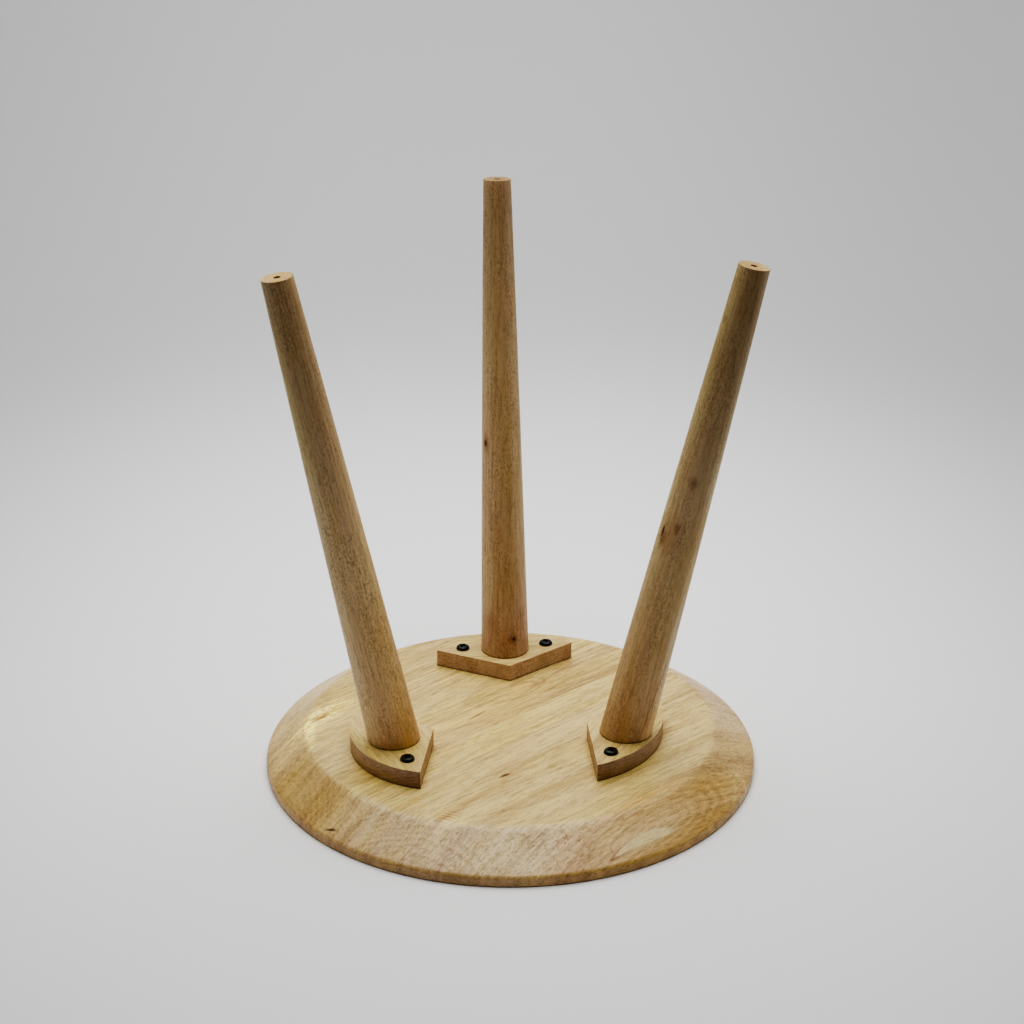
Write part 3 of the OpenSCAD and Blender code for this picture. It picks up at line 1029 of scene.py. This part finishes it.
def lathe(name, outline, steps, start=0.0, sweep=360.0):
    """A smooth surface of revolution round Z from (radius, height) points."""
    mesh = bpy.data.meshes.new(name)
    shape = bmesh.new()
    rings = []
    full = sweep >= 360.0
    for i in range(steps if full else steps + 1):
        a = math.radians(start + sweep * i / steps)
        rings.append([shape.verts.new((r * math.cos(a), r * math.sin(a), z)) for r, z in outline])
    if full:
        rings.append(rings[0])
    for one, two in zip(rings, rings[1:]):
        for k in range(len(outline) - 1):
            shape.faces.new([one[k], two[k], two[k + 1], one[k + 1]])
    bmesh.ops.remove_doubles(shape, verts=shape.verts, dist=JOIN_GAP)
    bmesh.ops.recalc_face_normals(shape, faces=shape.faces)
    for face in shape.faces:
        face.smooth = True
    shape.to_mesh(mesh)
    shape.free()
    thing = bpy.data.objects.new(name, mesh)
    bpy.context.scene.collection.objects.link(thing)
    return thing


def plain_material(name, grey, roughness):
    return Nodes(name).finish({"Base Color": (grey, grey, grey, 1.0), "Roughness": roughness})


def floor_material():
    g = Nodes("pale_floor")
    x, y, _ = g.split(g.put("TexCoord", {}).outputs["Object"])
    # Painted light: the floor's colour fades like a pool of light, with painted shade to the sides
    light_pool_fade = g.between(g.hypot(g.mul(x, FADE_SIDEWAYS), g.sub(y, FADE_MIDDLE_Y)), FADE_FROM, FADE_TO)
    shade_aside = g.between(g.math("ABSOLUTE", x), ASIDE_FROM, ASIDE_TO)
    left = g.add(g.mul(light_pool_fade, FADE_LEFT - 1.0), 1.0)
    left = g.mul(left, g.add(g.mul(shade_aside, ASIDE_LEFT - 1.0), 1.0))
    colour = g.mix(1.0, (FLOOR_GREY, FLOOR_GREY, FLOOR_GREY, 1.0), g.join(left, left, left), "MULTIPLY")
    return g.finish({"Base Color": colour, "Roughness": FLOOR_ROUGH})


def make_floor():
    outline = [(0.0, 0.0), (FLOOR_R, 0.0)]
    for i in range(1, WALL_STEPS + 1):
        a = math.radians(90.0 * i / WALL_STEPS)
        outline.append((FLOOR_R + WALL_BEND * math.sin(a), WALL_BEND * (1.0 - math.cos(a))))
    outline.append((FLOOR_R + WALL_BEND, WALL_TOP))
    floor = lathe("floor", outline, FLOOR_STEPS)
    dress(floor, floor_material())


def make_screen():
    outline = [(SCREEN_R, 0.0), (SCREEN_R, SCREEN_H)]
    screen = lathe("dark_screen", outline, SCREEN_STEPS, -90.0 - SCREEN_HALF_ANGLE, 2 * SCREEN_HALF_ANGLE)
    dress(screen, plain_material("dark_screen", SCREEN_GREY, 1.0))
    screen.visible_camera = False
    screen.visible_shadow = False


def make_lights():
    lamp = bpy.data.lights.new("overhead", "AREA")
    lamp.shape = "DISK"
    lamp.size = 2 * LIGHT_R
    lamp.energy = LIGHT_POWER
    light = bpy.data.objects.new("overhead", lamp)
    light.location = (0.0, LIGHT_BACK, LIGHT_H)
    light.visible_camera = False
    bpy.context.scene.collection.objects.link(light)

    world = bpy.data.worlds.new("room")
    bpy.context.scene.world = world
    world.use_nodes = True
    colour = world.node_tree.nodes["Background"].inputs[0]
    colour.default_value = (WORLD_GREY, WORLD_GREY, WORLD_GREY, 1.0)


def set_tones():
    settings = bpy.context.scene.view_settings
    settings.view_transform = "AgX"
    settings.look = "AgX - Very High Contrast"


def make_camera():
    camera = bpy.data.objects.new("camera", bpy.data.cameras.new("camera"))
    camera.location = CAMERA_AT
    camera.rotation_euler = Euler((math.radians(90.0 - CAMERA_DOWN), 0.0, math.radians(-CAMERA_TURN)))
    camera.data.lens = CAMERA_LENS
    camera.data.sensor_width = SENSOR_WIDTH
    bpy.context.scene.collection.objects.link(camera)
    bpy.context.scene.camera = camera


clear_scene()
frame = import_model()
set_tones()
make_camera()
make_floor()
make_screen()
make_lights()
dress_seat(frame["nodes"])
dress_legs(frame["nodes"])
dress_blocks(frame["nodes"])
dress_fixings(frame["nodes"])
ease_pieces(frame["nodes"])
